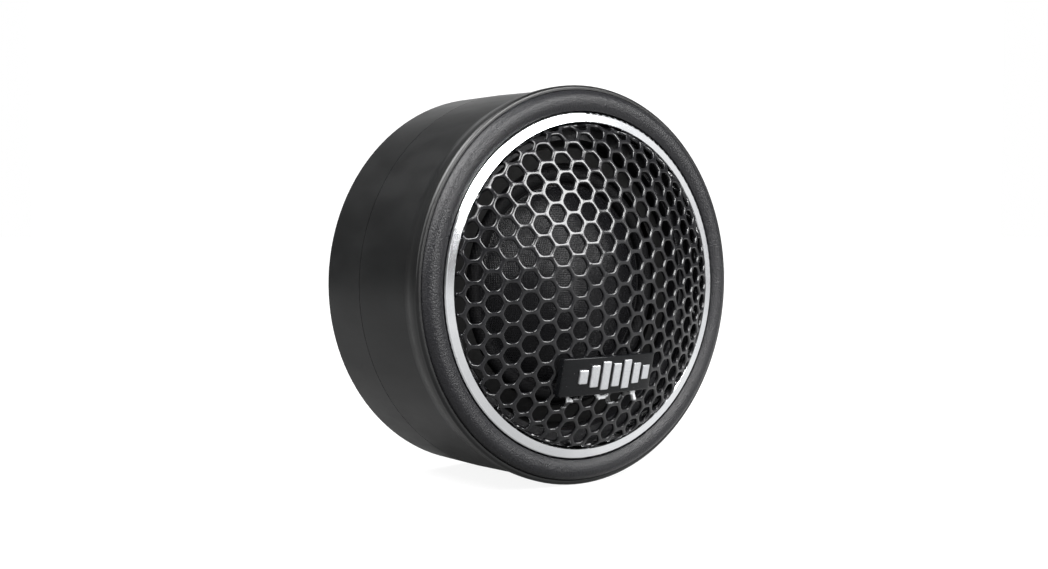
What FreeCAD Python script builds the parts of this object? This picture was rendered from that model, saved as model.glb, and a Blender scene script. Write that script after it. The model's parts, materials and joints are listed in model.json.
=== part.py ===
"""Surface-mount car tweeter: a round pod, 50 mm across, that twists on to a screwed-down base.

Every piece is drawn in a bench frame: its Z axis is the speaker's axis, with 0 at the panel that
the base is screwed to and positive towards the listener, and its Y axis is up.
place() then lays that axis down, so that in the finished part +Z is up and the front faces -Y.
"""

import FreeCAD, Part
import os
from math import asin, cos, hypot, pi, radians, sin, sqrt, tan

V = FreeCAD.Vector
AXIS = V(0, 0, 1)
CENTRE = V(0, 0, 0)

# Driving dimensions, in mm. "at" means a height above the panel, along the speaker's axis.

BODY_R = 24.9             # outside of the base and of the sleeve where they meet
WALL = 1.6
BORE_R = BODY_R - WALL
SLIVER = 0.1              # gap between two pieces that only sit in each other
TOUCH = 0.02              # gap between two faces that lie on each other
FIT = 0.03                # play of a screw or a peg in its hole, all round
ROOT = 0.4                # how far a lug or a rib runs into the wall that carries it
CUT_PAST = 1.0            # how far a hole's cutter runs past the piece

SEAM_AT = 8.0             # parting line between the base and the sleeve
SEAM_GAP = 0.05
SEAM_CHAMFER = 0.04
BASE_FLOOR = 2.0
BASE_REAR_CHAMFER = 0.3

CABLE_HOLE_R = 4.0
CABLE_HOLE_DROP = 9.0     # below the axis, near the terminals
SCREW_SPACING = 30.0      # between the base's two screw holes
SCREW_HOLE_R = 1.8
COUNTERSINK_R = 3.3

COLLAR_R = 21.8           # the base's inner collar, which carries the bayonet lugs
COLLAR_WALL = 1.1
COLLAR_TOP = 11.9
LUG_COUNT = 3
LUG_SPAN = 24.0           # degrees
LUG_R = 22.9
LUG_FROM, LUG_TO = 10.4, 11.8
RIB_R = 22.0              # inner edge of the sleeve's ribs, which turn in under the lugs
RIB_FROM, RIB_TO = 8.6, 10.2
STOP_SPAN = 4.0           # degrees
STOP_GAP = 0.5            # degrees left between a rib and its stop
UNLOCK_TURN = 28.0        # degrees from locked to released

WAIST_R = 24.65
WAIST_AT = 18.0
RIM_R = 25.0              # widest circle of the whole pod
RIM_AT = 20.3
RIM_ROUND = 0.35
RIM_TOP = 21.2
RIM_INNER_R = 24.45
RIM_SEAT = 20.0           # ledge on which the bezel's flange sits

BEZEL_R = 24.41
BEZEL_SHOULDER_R = 1.2
BEZEL_CREST = 22.12
BEZEL_FACE_MID = (22.5, 22.06)   # radius and height of a point on the face's slight crown
BEZEL_EDGE = (0.15, 0.1)         # bevel at the inner edge: across and along
BEZEL_INNER_R = 21.8
BEZEL_INNER_TOP = 21.72
BEZEL_SKIRT_R = BORE_R - SLIVER
BEZEL_SKIRT_WALL = 1.3
BEZEL_SKIRT_FROM = 14.0
SHELF_R = 18.4            # inner edge of the shelf that carries the grille
SHELF_FROM, SHELF_TO = 16.4, 19.0

GRILLE_SPHERE_R = 44.0
GRILLE_APEX = 27.42
GRILLE_SKIRT_R = 20.2
GRILLE_BEND_R = 1.4
GRILLE_SHEET = 0.5
GRILLE_FLANGE_R = 21.6
HOLE_PITCH = 2.6
HOLE_FLATS = 2.05         # across the flats of one hexagonal hole
HOLE_FIELD_R = 18.75      # circle that holds the centres of all holes
LATTICE_TURN = 2.3        # degrees
LATTICE_ORIGIN = (-6.1, 13.1)
HOLE_COLUMNS = range(-14, 20)
HOLE_ROWS = range(-20, 20)

TRIM_R = 21.65
TRIM_INNER_R = 20.35
TRIM_TOP_OUTER, TRIM_TOP_INNER = 21.85, 22.0
TRIM_ROUND = 0.3
TRIM_INNER_CHAMFER = 0.1

BADGE_CENTRE = (-0.95, -10.6)
BADGE_WIDTH, BADGE_HEIGHT = 14.2, 4.7
BADGE_THICK = 0.8
BADGE_PAD_THICK = 0.3
BADGE_PAD_INSET = 0.5
BADGE_SPACE = (20, 32)    # heights between which the badge lies
EMBLEM_RISE = 0.25
EMBLEM_BARS = (1.7, 2.7, 3.5, 2.9, 3.6, 2.6, 1.8)
EMBLEM_BAR_WIDTH = 1.2
EMBLEM_BAR_STEP = 1.65
EMBLEM_SHIFT = 0.7        # the row of bars stands to the right of the plate's middle

COIL_R = 12.55            # inside of a 1-inch voice coil
COIL_PAPER = 0.08
WINDING_R = 13.0
WINDING_FROM, WINDING_TO = 10.9, 14.7
FORMER_FROM, FORMER_TO = 9.6, 16.35
MAGNET_R, MAGNET_THICK = 11.0, 3.0
PLATE_R, PLATE_THICK = 12.4, 2.8
YOKE_R, YOKE_INNER_R = 15.0, 13.3
YOKE_FROM, YOKE_FLOOR, YOKE_TO = 6.4, 2.0, 14.7
PAD_R, PAD_THICK = 9.0, 1.8

FRAME_R = 21.6
FRAME_HOLE_R = 13.45
FRAME_FROM, FRAME_TO = 14.8, 16.3
FRAME_SKIRT_FROM = 9.6
FRAME_SKIRT_WALL = 1.1
LEAD_HOLE_R = 0.4

FILM = 0.15               # thickness of the diaphragm and of its surround
DOME_R = 12.75
DOME_RISE = 5.3
DOME_EDGE_AT = 16.4
ROLL_R = 1.1
ROLL_CENTRE_R = 14.1
SURROUND_R = 17.4
CLAMP_INNER_R, CLAMP_R, CLAMP_THICK = 15.5, 17.5, 0.8

DRIVER_SCREW_CIRCLE_R = 19.7
DRIVER_SCREW_ANGLES = (90, 210, 330)
DRIVER_SCREW_R, DRIVER_SCREW_HEAD_R, DRIVER_SCREW_HEAD = 1.0, 1.7, 1.1
DRIVER_SCREW_TO = 18.6
DRIVER_SCREW_PLAY = 0.15
CROSS_LONG, CROSS_WIDE, CROSS_DEEP = 2.0, 0.4, 0.6   # recess in a screw's head

TERMINAL_ANGLE = 270      # the terminal board sits at the bottom of the pod
TERMINAL_STEP = 14        # degrees between two of its three rivets
TERMINAL_CIRCLE_R = 18.0
BOARD_INNER_R, BOARD_R, BOARD_SPAN = 16.4, 20.2, 54
BOARD_FROM, BOARD_TO = 9.0, 9.8
POST_ANGLE = 22           # degrees from the middle of the board to each post
POST_R, PEG_R = 1.2, 0.6
PEG_PROUD = 0.6           # how far a post's peg stands out behind the board
RIVET_R, RIVET_HEAD_R, RIVET_HEAD = 0.6, 1.1, 0.35
TAB_WIDTH, TAB_THICK, TAB_END = 2.8, 0.5, 3.6
TAB_MARGIN = 0.2          # from a tab's blade to the board's outer edge
TAB_HEEL = 0.3            # foot left inwards of the rivet's head
TAB_EYE_R, TAB_EYE_UP = 0.6, 1.4
LEAD_R = 0.16
LEAD_RISE = 0.45          # from the frame's flange up to a lead's middle
LEAD_BEND = 0.25

CAP_ANGLE = 308
CAP_CIRCLE_R = 18.0
CAP_R = 2.5
CAP_FROM, CAP_TO = 3.6, 14.6
CAP_GROOVE_UP, CAP_GROOVE_OUT, CAP_GROOVE_R = 1.4, 0.25, 0.5
CAP_LEAD_STEP = 2.0
CAP_LEAD_R = 0.25
CAP_LEAD_BEND = 0.4
CAP_LEAD_UP = 0.9         # from the base's floor to the leads' long runs
CAP_LEAD_TAB_END = 1.6    # from the tab's foot to the end of the lead soldered to it


# Helpers

def at(radius, angle, height=0.0):
    """Point on a circle about the speaker's axis."""
    turn = radians(angle)
    return V(radius * cos(turn), radius * sin(turn), height)


def tube(outer, inner, low, high):
    """Ring of rectangular section."""
    ring = Part.makeCylinder(outer, high - low, V(0, 0, low))
    return ring.cut(Part.makeCylinder(inner, high - low, V(0, 0, low)))


def disc(radius, low, high):
    return Part.makeCylinder(radius, high - low, V(0, 0, low))


def sector(outer, inner, low, high, middle, span):
    """Block that spans part of a ring, centred on one angle."""
    ring = Part.makeCylinder(outer, high - low, V(0, 0, low), AXIS, span)
    core = Part.makeCylinder(inner, high - low, V(0, 0, low))
    block = ring.cut(core)
    block.rotate(CENTRE, AXIS, middle - span / 2)
    return block


def line(start, end):
    return Part.makeLine(V(start[0], 0, start[1]), V(end[0], 0, end[1]))


def arc(start, middle, end):
    a, b, c = (V(p[0], 0, p[1]) for p in (start, middle, end))
    return Part.Arc(a, b, c).toShape()


def turned(edges):
    """Solid of revolution from a closed outline of (radius, height) edges."""
    face = Part.Face(Part.Wire(edges))
    return face.revolve(CENTRE, AXIS, 360)


def polygon(points):
    """Straight edges through the points and back to the first."""
    return [line(a, b) for a, b in zip(points, points[1:] + points[:1])]


def post(radius, circle_r, angle, low, high):
    """Cylinder parallel to the axis."""
    return Part.makeCylinder(radius, high - low, at(circle_r, angle, low))


def wire_along(points, radius, bend):
    """Round wire along straight runs joined by arcs of one bend radius."""
    edges = []
    start = points[0]
    for before, corner, after in zip(points, points[1:], points[2:]):
        way_in = (corner - before).normalize()
        way_out = (after - corner).normalize()
        turn = way_in.getAngle(way_out)
        trim = bend * tan(turn / 2)
        first = corner - way_in * trim
        last = corner + way_out * trim
        bisector = (way_out - way_in).normalize()
        centre = corner + bisector * (bend / cos(turn / 2))
        middle = centre - bisector * bend
        edges.append(Part.makeLine(start, first))
        edges.append(Part.Arc(first, middle, last).toShape())
        start = last
    edges.append(Part.makeLine(start, points[-1]))
    path = Part.Wire(edges)
    heading = (points[1] - points[0]).normalize()
    ring = Part.Wire([Part.makeCircle(radius, points[0], heading)])
    return path.makePipeShell([ring], True, True)


def place(shape):
    """Bench frame to the part's own frame: the axis lies along Y, with the front at -Y."""
    placed = shape.copy()
    placed.rotate(CENTRE, V(1, 0, 0), 90)
    return placed


# Base, screwed to the door or dash panel

def mounting_base():
    low = BASE_REAR_CHAMFER
    shell = turned(polygon([
        (0, 0),
        (BODY_R - low, 0),
        (BODY_R, low),
        (BODY_R, SEAM_AT),
        (BORE_R, SEAM_AT),
        (BORE_R, BASE_FLOOR),
        (0, BASE_FLOOR),
    ]))
    collar = tube(COLLAR_R, COLLAR_R - COLLAR_WALL, BASE_FLOOR, COLLAR_TOP)
    base = shell.fuse([collar] + bayonet_lugs()).removeSplitter()
    return base.cut(base_holes())


def bayonet_lugs():
    """Lugs over the ribs, a stop where the ribs lock and a stop where they come free."""
    inside = COLLAR_R - ROOT
    locked = -(LUG_SPAN + STOP_SPAN) / 2 - STOP_GAP
    released = UNLOCK_TURN - locked
    blocks = []
    for n in range(LUG_COUNT):
        middle = 90 + n * 360 / LUG_COUNT
        blocks.append(sector(LUG_R, inside, LUG_FROM, LUG_TO, middle, LUG_SPAN))
        for stop in (locked, released):
            block = sector(LUG_R, inside, RIB_FROM, LUG_TO, middle + stop, STOP_SPAN)
            blocks.append(block)
    return blocks


def base_holes():
    """Cable outlet and two countersunk screw holes."""
    start = -AXIS * CUT_PAST
    deep = BASE_FLOOR + 2 * CUT_PAST
    outlet = V(0, -CABLE_HOLE_DROP, 0) + start
    holes = [Part.makeCylinder(CABLE_HOLE_R, deep, outlet)]
    sink = COUNTERSINK_R - SCREW_HOLE_R
    mouth_r, mouth_deep = COUNTERSINK_R + CUT_PAST, sink + CUT_PAST
    for side in (-1, 1):
        spot = V(side * SCREW_SPACING / 2, 0, 0)
        holes.append(Part.makeCylinder(SCREW_HOLE_R, deep, spot + start))
        mouth = spot + AXIS * (BASE_FLOOR - sink)
        holes.append(Part.makeCone(SCREW_HOLE_R, mouth_r, mouth_deep, mouth))
    return holes


# Pod housing

def rounded(corner, radius):
    """Quarter arc that takes off an outer front corner."""
    x, y = corner
    back = radius * (1 - cos(pi / 4))
    return arc((x, y - radius), (x - back, y - back), (x - radius, y))


def flare():
    """Two equal arcs that carry the sleeve from its waist out to its rim."""
    out, along = RIM_R - WAIST_R, RIM_AT - WAIST_AT
    radius = (out ** 2 + along ** 2) / (4 * out)
    half = asin(along / 2 / radius) / 2
    dip, run = radius * (1 - cos(half)), radius * sin(half)
    middle = (WAIST_R + out / 2, WAIST_AT + along / 2)
    return [
        arc((WAIST_R, WAIST_AT), (WAIST_R + dip, WAIST_AT + run), middle),
        arc(middle, (RIM_R - dip, RIM_AT - run), (RIM_R, RIM_AT)),
    ]


def housing_sleeve():
    foot = SEAM_AT + SEAM_GAP
    edge_r, edge_at = BODY_R - SEAM_CHAMFER, foot + SEAM_CHAMFER
    shell = turned([
        line((BORE_R, foot), (edge_r, foot)),
        line((edge_r, foot), (BODY_R, edge_at)),
        line((BODY_R, edge_at), (WAIST_R, WAIST_AT)),
    ] + flare() + [
        line((RIM_R, RIM_AT), (RIM_R, RIM_TOP - RIM_ROUND)),
        rounded((RIM_R, RIM_TOP), RIM_ROUND),
        line((RIM_R - RIM_ROUND, RIM_TOP), (RIM_INNER_R, RIM_TOP)),
        line((RIM_INNER_R, RIM_TOP), (RIM_INNER_R, RIM_SEAT)),
        line((RIM_INNER_R, RIM_SEAT), (BORE_R, RIM_SEAT)),
        line((BORE_R, RIM_SEAT), (BORE_R, foot)),
    ])
    ribs = []
    for n in range(LUG_COUNT):
        middle = 90 + n * 360 / LUG_COUNT
        ribs.append(sector(BORE_R + ROOT, RIB_R, RIB_FROM, RIB_TO, middle, LUG_SPAN))
    return shell.fuse(ribs).removeSplitter()


def front_bezel():
    """Visible front ring, with a skirt inside the sleeve and a shelf for the grille."""
    seat = RIM_SEAT + SLIVER / 2
    skirt_inner = BEZEL_SKIRT_R - BEZEL_SKIRT_WALL
    crest_r = BEZEL_R - BEZEL_SHOULDER_R
    face_r, face_at = BEZEL_INNER_R + BEZEL_EDGE[0], BEZEL_INNER_TOP + BEZEL_EDGE[1]
    shell = turned([
        line((BEZEL_SKIRT_R, seat), (BEZEL_R, seat)),
        line((BEZEL_R, seat), (BEZEL_R, BEZEL_CREST - BEZEL_SHOULDER_R)),
        rounded((BEZEL_R, BEZEL_CREST), BEZEL_SHOULDER_R),
        arc((crest_r, BEZEL_CREST), BEZEL_FACE_MID, (face_r, face_at)),
        line((face_r, face_at), (BEZEL_INNER_R, BEZEL_INNER_TOP)),
        line((BEZEL_INNER_R, BEZEL_INNER_TOP), (BEZEL_INNER_R, SHELF_TO)),
        line((BEZEL_INNER_R, SHELF_TO), (SHELF_R, SHELF_TO)),
        line((SHELF_R, SHELF_TO), (SHELF_R, SHELF_FROM)),
        line((SHELF_R, SHELF_FROM), (skirt_inner, SHELF_FROM)),
        line((skirt_inner, SHELF_FROM), (skirt_inner, BEZEL_SKIRT_FROM)),
        line((skirt_inner, BEZEL_SKIRT_FROM), (BEZEL_SKIRT_R, BEZEL_SKIRT_FROM)),
        line((BEZEL_SKIRT_R, BEZEL_SKIRT_FROM), (BEZEL_SKIRT_R, seat)),
    ])
    pilot_to = DRIVER_SCREW_TO + SLIVER
    pilots = [
        post(DRIVER_SCREW_R + FIT, DRIVER_SCREW_CIRCLE_R, angle, SHELF_FROM, pilot_to)
        for angle in DRIVER_SCREW_ANGLES
    ]
    return shell.cut(pilots)


def trim_ring():
    """Aluminium ring that holds the grille down; its top slopes gently inwards and up."""
    foot = SHELF_TO + GRILLE_SHEET + SLIVER
    edge_r, edge_at = TRIM_INNER_R + TRIM_INNER_CHAMFER, TRIM_TOP_INNER - TRIM_INNER_CHAMFER
    return turned([
        line((TRIM_INNER_R, foot), (TRIM_R, foot)),
        line((TRIM_R, foot), (TRIM_R, TRIM_TOP_OUTER - TRIM_ROUND)),
        rounded((TRIM_R, TRIM_TOP_OUTER), TRIM_ROUND),
        line((TRIM_R - TRIM_ROUND, TRIM_TOP_OUTER), (edge_r, TRIM_TOP_INNER)),
        line((edge_r, TRIM_TOP_INNER), (TRIM_INNER_R, edge_at)),
        line((TRIM_INNER_R, edge_at), (TRIM_INNER_R, foot)),
    ])


# Grille and badge

def grille_outline(offset):
    """Edges of one side of the sheet, from the apex to the flange, and their end points."""
    ball = GRILLE_SPHERE_R + offset
    bend = GRILLE_BEND_R + offset
    ball_centre = GRILLE_APEX - GRILLE_SPHERE_R
    bend_r = GRILLE_SKIRT_R - GRILLE_BEND_R
    bend_up = sqrt((GRILLE_SPHERE_R - GRILLE_BEND_R) ** 2 - bend_r ** 2)
    bend_at = ball_centre + bend_up
    lean = asin(bend_r / (GRILLE_SPHERE_R - GRILLE_BEND_R))
    touch = (ball * sin(lean), ball_centre + ball * cos(lean))
    half = lean / 2
    top = arc(
        (0, ball_centre + ball),
        (ball * sin(half), ball_centre + ball * cos(half)),
        touch,
    )
    turn = (lean + pi / 2) / 2
    skirt_top = (bend_r + bend, bend_at)
    corner = arc(touch, (bend_r + bend * sin(turn), bend_at + bend * cos(turn)), skirt_top)
    return top, corner, skirt_top


def grille_sheet():
    foot = SHELF_TO + SLIVER / 2
    top, corner, skirt_top = grille_outline(0)
    under_top, under_corner, under_skirt = grille_outline(-GRILLE_SHEET)
    outer_r, inner_r = skirt_top[0], under_skirt[0]
    return turned([
        top,
        corner,
        line(skirt_top, (outer_r, foot + GRILLE_SHEET)),
        line((outer_r, foot + GRILLE_SHEET), (GRILLE_FLANGE_R, foot + GRILLE_SHEET)),
        line((GRILLE_FLANGE_R, foot + GRILLE_SHEET), (GRILLE_FLANGE_R, foot)),
        line((GRILLE_FLANGE_R, foot), (inner_r, foot)),
        line((inner_r, foot), under_skirt),
        under_corner,
        under_top,
        line((0, GRILLE_APEX - GRILLE_SHEET), (0, GRILLE_APEX)),
    ])


def hole_centres():
    """Close-packed lattice, stacked vertically, kept inside the dome's edge."""
    column = HOLE_PITCH * sqrt(3) / 2
    turn = radians(LATTICE_TURN)
    spots = []
    for i in HOLE_COLUMNS:
        for j in HOLE_ROWS:
            u = i * column
            v = (j + (i % 2) / 2) * HOLE_PITCH
            x = LATTICE_ORIGIN[0] + u * cos(turn) - v * sin(turn)
            y = LATTICE_ORIGIN[1] + u * sin(turn) + v * cos(turn)
            if hypot(x, y) < HOLE_FIELD_R:
                spots.append((x, y))
    return spots


def hexagon(x, y, low, high):
    """Hexagonal prism with its flats facing up and down."""
    size = HOLE_FLATS / sqrt(3)
    corners = []
    for n in range(7):
        angle = radians(60 * n + LATTICE_TURN)
        corners.append(V(x + size * cos(angle), y + size * sin(angle), low))
    face = Part.Face(Part.makePolygon(corners))
    return face.extrude(V(0, 0, high - low))


def grille_mesh():
    low = SHELF_TO + CUT_PAST
    high = GRILLE_APEX + CUT_PAST
    return grille_sheet().cut([hexagon(x, y, low, high) for x, y in hole_centres()])


def badge_column(middle, width, height):
    """Box through the badge's place, centred at a distance right of the badge's middle."""
    low, high = BADGE_SPACE
    corner = V(BADGE_CENTRE[0] + middle - width / 2, BADGE_CENTRE[1] - height / 2, low)
    return Part.makeBox(width, height, high - low, corner)


def dome_layer(bottom, thick):
    """Solid between two spheres that lie above the grille's surface."""
    centre = V(0, 0, GRILLE_APEX - GRILLE_SPHERE_R)
    outer = Part.makeSphere(GRILLE_SPHERE_R + bottom + thick, centre)
    return outer.cut(Part.makeSphere(GRILLE_SPHERE_R + bottom, centre))


def badge_pad():
    width, height = BADGE_WIDTH - 2 * BADGE_PAD_INSET, BADGE_HEIGHT - 2 * BADGE_PAD_INSET
    return badge_column(0, width, height).common(dome_layer(TOUCH, BADGE_PAD_THICK - TOUCH))


def badge_plate():
    layer = dome_layer(BADGE_PAD_THICK, BADGE_THICK)
    return badge_column(0, BADGE_WIDTH, BADGE_HEIGHT).common(layer)


def badge_emblem():
    """Plain row of upright bars of different heights, raised off the plate."""
    first = EMBLEM_SHIFT - EMBLEM_BAR_STEP * (len(EMBLEM_BARS) - 1) / 2
    layer = dome_layer(BADGE_PAD_THICK + BADGE_THICK, EMBLEM_RISE)
    bars = []
    for n, height in enumerate(EMBLEM_BARS):
        column = badge_column(first + n * EMBLEM_BAR_STEP, EMBLEM_BAR_WIDTH, height)
        bars.append(column.common(layer))
    return Part.makeCompound(bars)


# Driver: frame, diaphragm and motor

def driver_frame():
    flange = tube(FRAME_R, FRAME_HOLE_R, FRAME_FROM, FRAME_TO)
    skirt_inner = YOKE_R + SLIVER / 2
    skirt = tube(skirt_inner + FRAME_SKIRT_WALL, skirt_inner, FRAME_SKIRT_FROM, FRAME_FROM)
    posts = []
    peg_from, post_from = BOARD_FROM - PEG_PROUD, BOARD_TO + SLIVER / 2
    for side in (-1, 1):
        angle = TERMINAL_ANGLE + side * POST_ANGLE
        posts.append(post(POST_R, TERMINAL_CIRCLE_R, angle, post_from, FRAME_FROM))
        posts.append(post(PEG_R, TERMINAL_CIRCLE_R, angle, peg_from, post_from))
    frame = flange.fuse([skirt] + posts).removeSplitter()
    screw_hole_r = DRIVER_SCREW_R + DRIVER_SCREW_PLAY
    low, high = FRAME_FROM - CUT_PAST, FRAME_TO + CUT_PAST
    holes = []
    for angle in DRIVER_SCREW_ANGLES:
        holes.append(post(screw_hole_r, DRIVER_SCREW_CIRCLE_R, angle, low, high))
    for angle in lead_angles():
        holes.append(post(LEAD_HOLE_R, TERMINAL_CIRCLE_R, angle, low, high))
    scallop_r, scallop_from = CAP_R + SLIVER, FRAME_SKIRT_FROM - CUT_PAST
    holes.append(post(scallop_r, CAP_CIRCLE_R, CAP_ANGLE, scallop_from, FRAME_FROM))
    return frame.cut(holes)


def frame_screws():
    screws = []
    for angle in DRIVER_SCREW_ANGLES:
        under_head = FRAME_FROM - TOUCH
        shank = post(DRIVER_SCREW_R, DRIVER_SCREW_CIRCLE_R, angle, under_head, DRIVER_SCREW_TO)
        low = under_head - DRIVER_SCREW_HEAD
        head = post(DRIVER_SCREW_HEAD_R, DRIVER_SCREW_CIRCLE_R, angle, low, under_head)
        spot = at(DRIVER_SCREW_CIRCLE_R, angle, low)
        cross = []
        for size_x, size_y in ((CROSS_LONG, CROSS_WIDE), (CROSS_WIDE, CROSS_LONG)):
            corner = spot - V(size_x / 2, size_y / 2, 0)
            cross.append(Part.makeBox(size_x, size_y, CROSS_DEEP, corner))
        screws.append(shank.fuse(head).removeSplitter().cut(cross))
    return Part.makeCompound(screws)


def yoke_cup():
    cup = disc(YOKE_R, YOKE_FROM, YOKE_TO)
    return cup.cut(disc(YOKE_INNER_R, YOKE_FROM + YOKE_FLOOR, YOKE_TO))


def magnet():
    low = YOKE_FROM + YOKE_FLOOR
    return disc(MAGNET_R, low, low + MAGNET_THICK)


def pole_plate():
    low = YOKE_FROM + YOKE_FLOOR + MAGNET_THICK
    return disc(PLATE_R, low, low + PLATE_THICK)


def damping_pad():
    low = YOKE_FROM + YOKE_FLOOR + MAGNET_THICK + PLATE_THICK
    return disc(PAD_R, low, low + PAD_THICK)


def voice_coil_former():
    return tube(COIL_R + COIL_PAPER, COIL_R, FORMER_FROM, FORMER_TO)


def voice_coil_winding():
    return tube(WINDING_R, COIL_R + COIL_PAPER, WINDING_FROM, WINDING_TO)


def diaphragm_dome():
    """Thin dome with a small lip over the end of the coil former."""
    rise, reach = DOME_RISE, COIL_R + COIL_PAPER / 2
    ball = (rise ** 2 + reach ** 2) / (2 * rise)
    outer_ball = ball + FILM
    foot = DOME_EDGE_AT
    centre = foot + rise - ball
    lean_in = asin(reach / ball)
    lean_out = asin(reach / outer_ball)
    inner_end = (reach, foot)
    outer_end = (reach, centre + outer_ball * cos(lean_out))
    inner_mid = (ball * sin(lean_in / 2), centre + ball * cos(lean_in / 2))
    outer_mid = (outer_ball * sin(lean_out / 2), centre + outer_ball * cos(lean_out / 2))
    return turned([
        arc((0, foot + rise), inner_mid, inner_end),
        line(inner_end, (DOME_R, foot)),
        line((DOME_R, foot), (DOME_R, outer_end[1])),
        line((DOME_R, outer_end[1]), outer_end),
        arc(outer_end, outer_mid, (0, foot + rise + FILM)),
        line((0, foot + rise + FILM), (0, foot + rise)),
    ])


def surround():
    """Half-roll between the dome's lip and the flange under the clamp ring."""
    foot = DOME_EDGE_AT
    top = foot + FILM
    inner_r = DOME_R + SLIVER / 2
    roll_in = ROLL_R - FILM
    mid = ROLL_CENTRE_R
    return turned([
        line((inner_r, foot), (mid - roll_in, foot)),
        arc((mid - roll_in, foot), (mid, foot + roll_in), (mid + roll_in, foot)),
        line((mid + roll_in, foot), (SURROUND_R, foot)),
        line((SURROUND_R, foot), (SURROUND_R, top)),
        line((SURROUND_R, top), (mid + ROLL_R, top)),
        arc((mid + ROLL_R, top), (mid, foot + ROLL_R), (mid - ROLL_R, top)),
        line((mid - ROLL_R, top), (inner_r, top)),
        line((inner_r, top), (inner_r, foot)),
    ])


def clamp_ring():
    low = DOME_EDGE_AT + FILM + TOUCH
    return tube(CLAMP_R, CLAMP_INNER_R, low, low + CLAMP_THICK)


# Terminals, leads and the high-pass capacitor

def lead_angles():
    """The voice coil's leads go to the outer negative rivet and to the middle one."""
    return (TERMINAL_ANGLE - TERMINAL_STEP, TERMINAL_ANGLE)


def rivet_angles():
    return [TERMINAL_ANGLE + n * TERMINAL_STEP for n in (-1, 0, 1)]


def terminal_board():
    board = sector(BOARD_R, BOARD_INNER_R, BOARD_FROM, BOARD_TO, TERMINAL_ANGLE, BOARD_SPAN)
    holes = [post(RIVET_R, TERMINAL_CIRCLE_R, a, BOARD_FROM, BOARD_TO) for a in rivet_angles()]
    for side in (-1, 1):
        angle = TERMINAL_ANGLE + side * POST_ANGLE
        holes.append(post(PEG_R + FIT, TERMINAL_CIRCLE_R, angle, BOARD_FROM, BOARD_TO))
    return board.cut(holes)


def terminal_rivets():
    rivets = []
    for angle in rivet_angles():
        low = BOARD_FROM if angle == TERMINAL_ANGLE else BOARD_FROM - TAB_THICK
        shank = post(RIVET_R, TERMINAL_CIRCLE_R, angle, low, BOARD_TO)
        rear = post(RIVET_HEAD_R, TERMINAL_CIRCLE_R, angle, low - RIVET_HEAD, low)
        front = post(RIVET_HEAD_R, TERMINAL_CIRCLE_R, angle, BOARD_TO, BOARD_TO + RIVET_HEAD)
        rivets.append(shank.fuse([rear, front]).removeSplitter())
    return Part.makeCompound(rivets)


def terminal_tab(side):
    """Solder tab: a foot under the board's rivet and a blade that points to the panel."""
    foot_top = BOARD_FROM
    foot_low = foot_top - TAB_THICK
    half = TAB_WIDTH / 2
    inner = TERMINAL_CIRCLE_R - RIVET_HEAD_R - TAB_HEEL
    outer = BOARD_R - TAB_MARGIN
    foot = Part.makeBox(outer - inner, TAB_WIDTH, TAB_THICK, V(inner, -half, foot_low))
    blade_size = foot_low - TAB_END
    blade = Part.makeBox(TAB_THICK, TAB_WIDTH, blade_size, V(outer - TAB_THICK, -half, TAB_END))
    middle = V(outer - TAB_THICK - CUT_PAST, 0, TAB_END + TAB_EYE_UP)
    eye = Part.makeCylinder(TAB_EYE_R, TAB_THICK + 2 * CUT_PAST, middle, V(1, 0, 0))
    rivet_hole = Part.makeCylinder(RIVET_R, TAB_THICK, V(TERMINAL_CIRCLE_R, 0, foot_low))
    tab = foot.fuse(blade).removeSplitter().cut([eye, rivet_hole])
    tab.rotate(CENTRE, AXIS, TERMINAL_ANGLE + side * TERMINAL_STEP)
    return tab


def coil_leads():
    """From the board up through the frame, then in under the edge of the clamp ring."""
    top = FRAME_TO + LEAD_RISE
    leads = []
    for angle in lead_angles():
        route = [
            at(TERMINAL_CIRCLE_R, angle, BOARD_TO + RIVET_HEAD + TOUCH),
            at(TERMINAL_CIRCLE_R, angle, top),
            at(CLAMP_R + FIT, angle, top),
        ]
        leads.append(wire_along(route, LEAD_R, LEAD_BEND))
    return Part.makeCompound(leads)


def high_pass_capacitor():
    """Small can that stands beside the motor, with the crimp groove near its leads."""
    can = post(CAP_R, CAP_CIRCLE_R, CAP_ANGLE, CAP_FROM, CAP_TO)
    groove_at = at(CAP_CIRCLE_R, CAP_ANGLE, CAP_FROM + CAP_GROOVE_UP)
    groove = Part.makeTorus(CAP_R + CAP_GROOVE_OUT, CAP_GROOVE_R, groove_at, AXIS)
    return can.cut(groove)


def capacitor_leads():
    """One lead to the positive tab, the other to the middle rivet."""
    middle = at(CAP_CIRCLE_R, CAP_ANGLE, CAP_FROM)
    across = at(CAP_LEAD_STEP / 2, CAP_ANGLE)
    low = BASE_FLOOR + CAP_LEAD_UP
    tab_face_r = BOARD_R - TAB_MARGIN - TAB_THICK
    tab_spot = at(tab_face_r - CAP_LEAD_R - TOUCH, TERMINAL_ANGLE + TERMINAL_STEP)
    rivet_spot = at(TERMINAL_CIRCLE_R, TERMINAL_ANGLE)
    ends = (
        (middle + across, tab_spot, BOARD_FROM - TAB_THICK - CAP_LEAD_TAB_END),
        (middle - across, rivet_spot, BOARD_FROM - RIVET_HEAD - TOUCH),
    )
    leads = []
    for start, spot, height in ends:
        route = [
            start - AXIS * TOUCH,
            V(start.x, start.y, low),
            V(spot.x, spot.y, low),
            V(spot.x, spot.y, height),
        ]
        leads.append(wire_along(route, CAP_LEAD_R, CAP_LEAD_BEND))
    return Part.makeCompound(leads)


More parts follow.
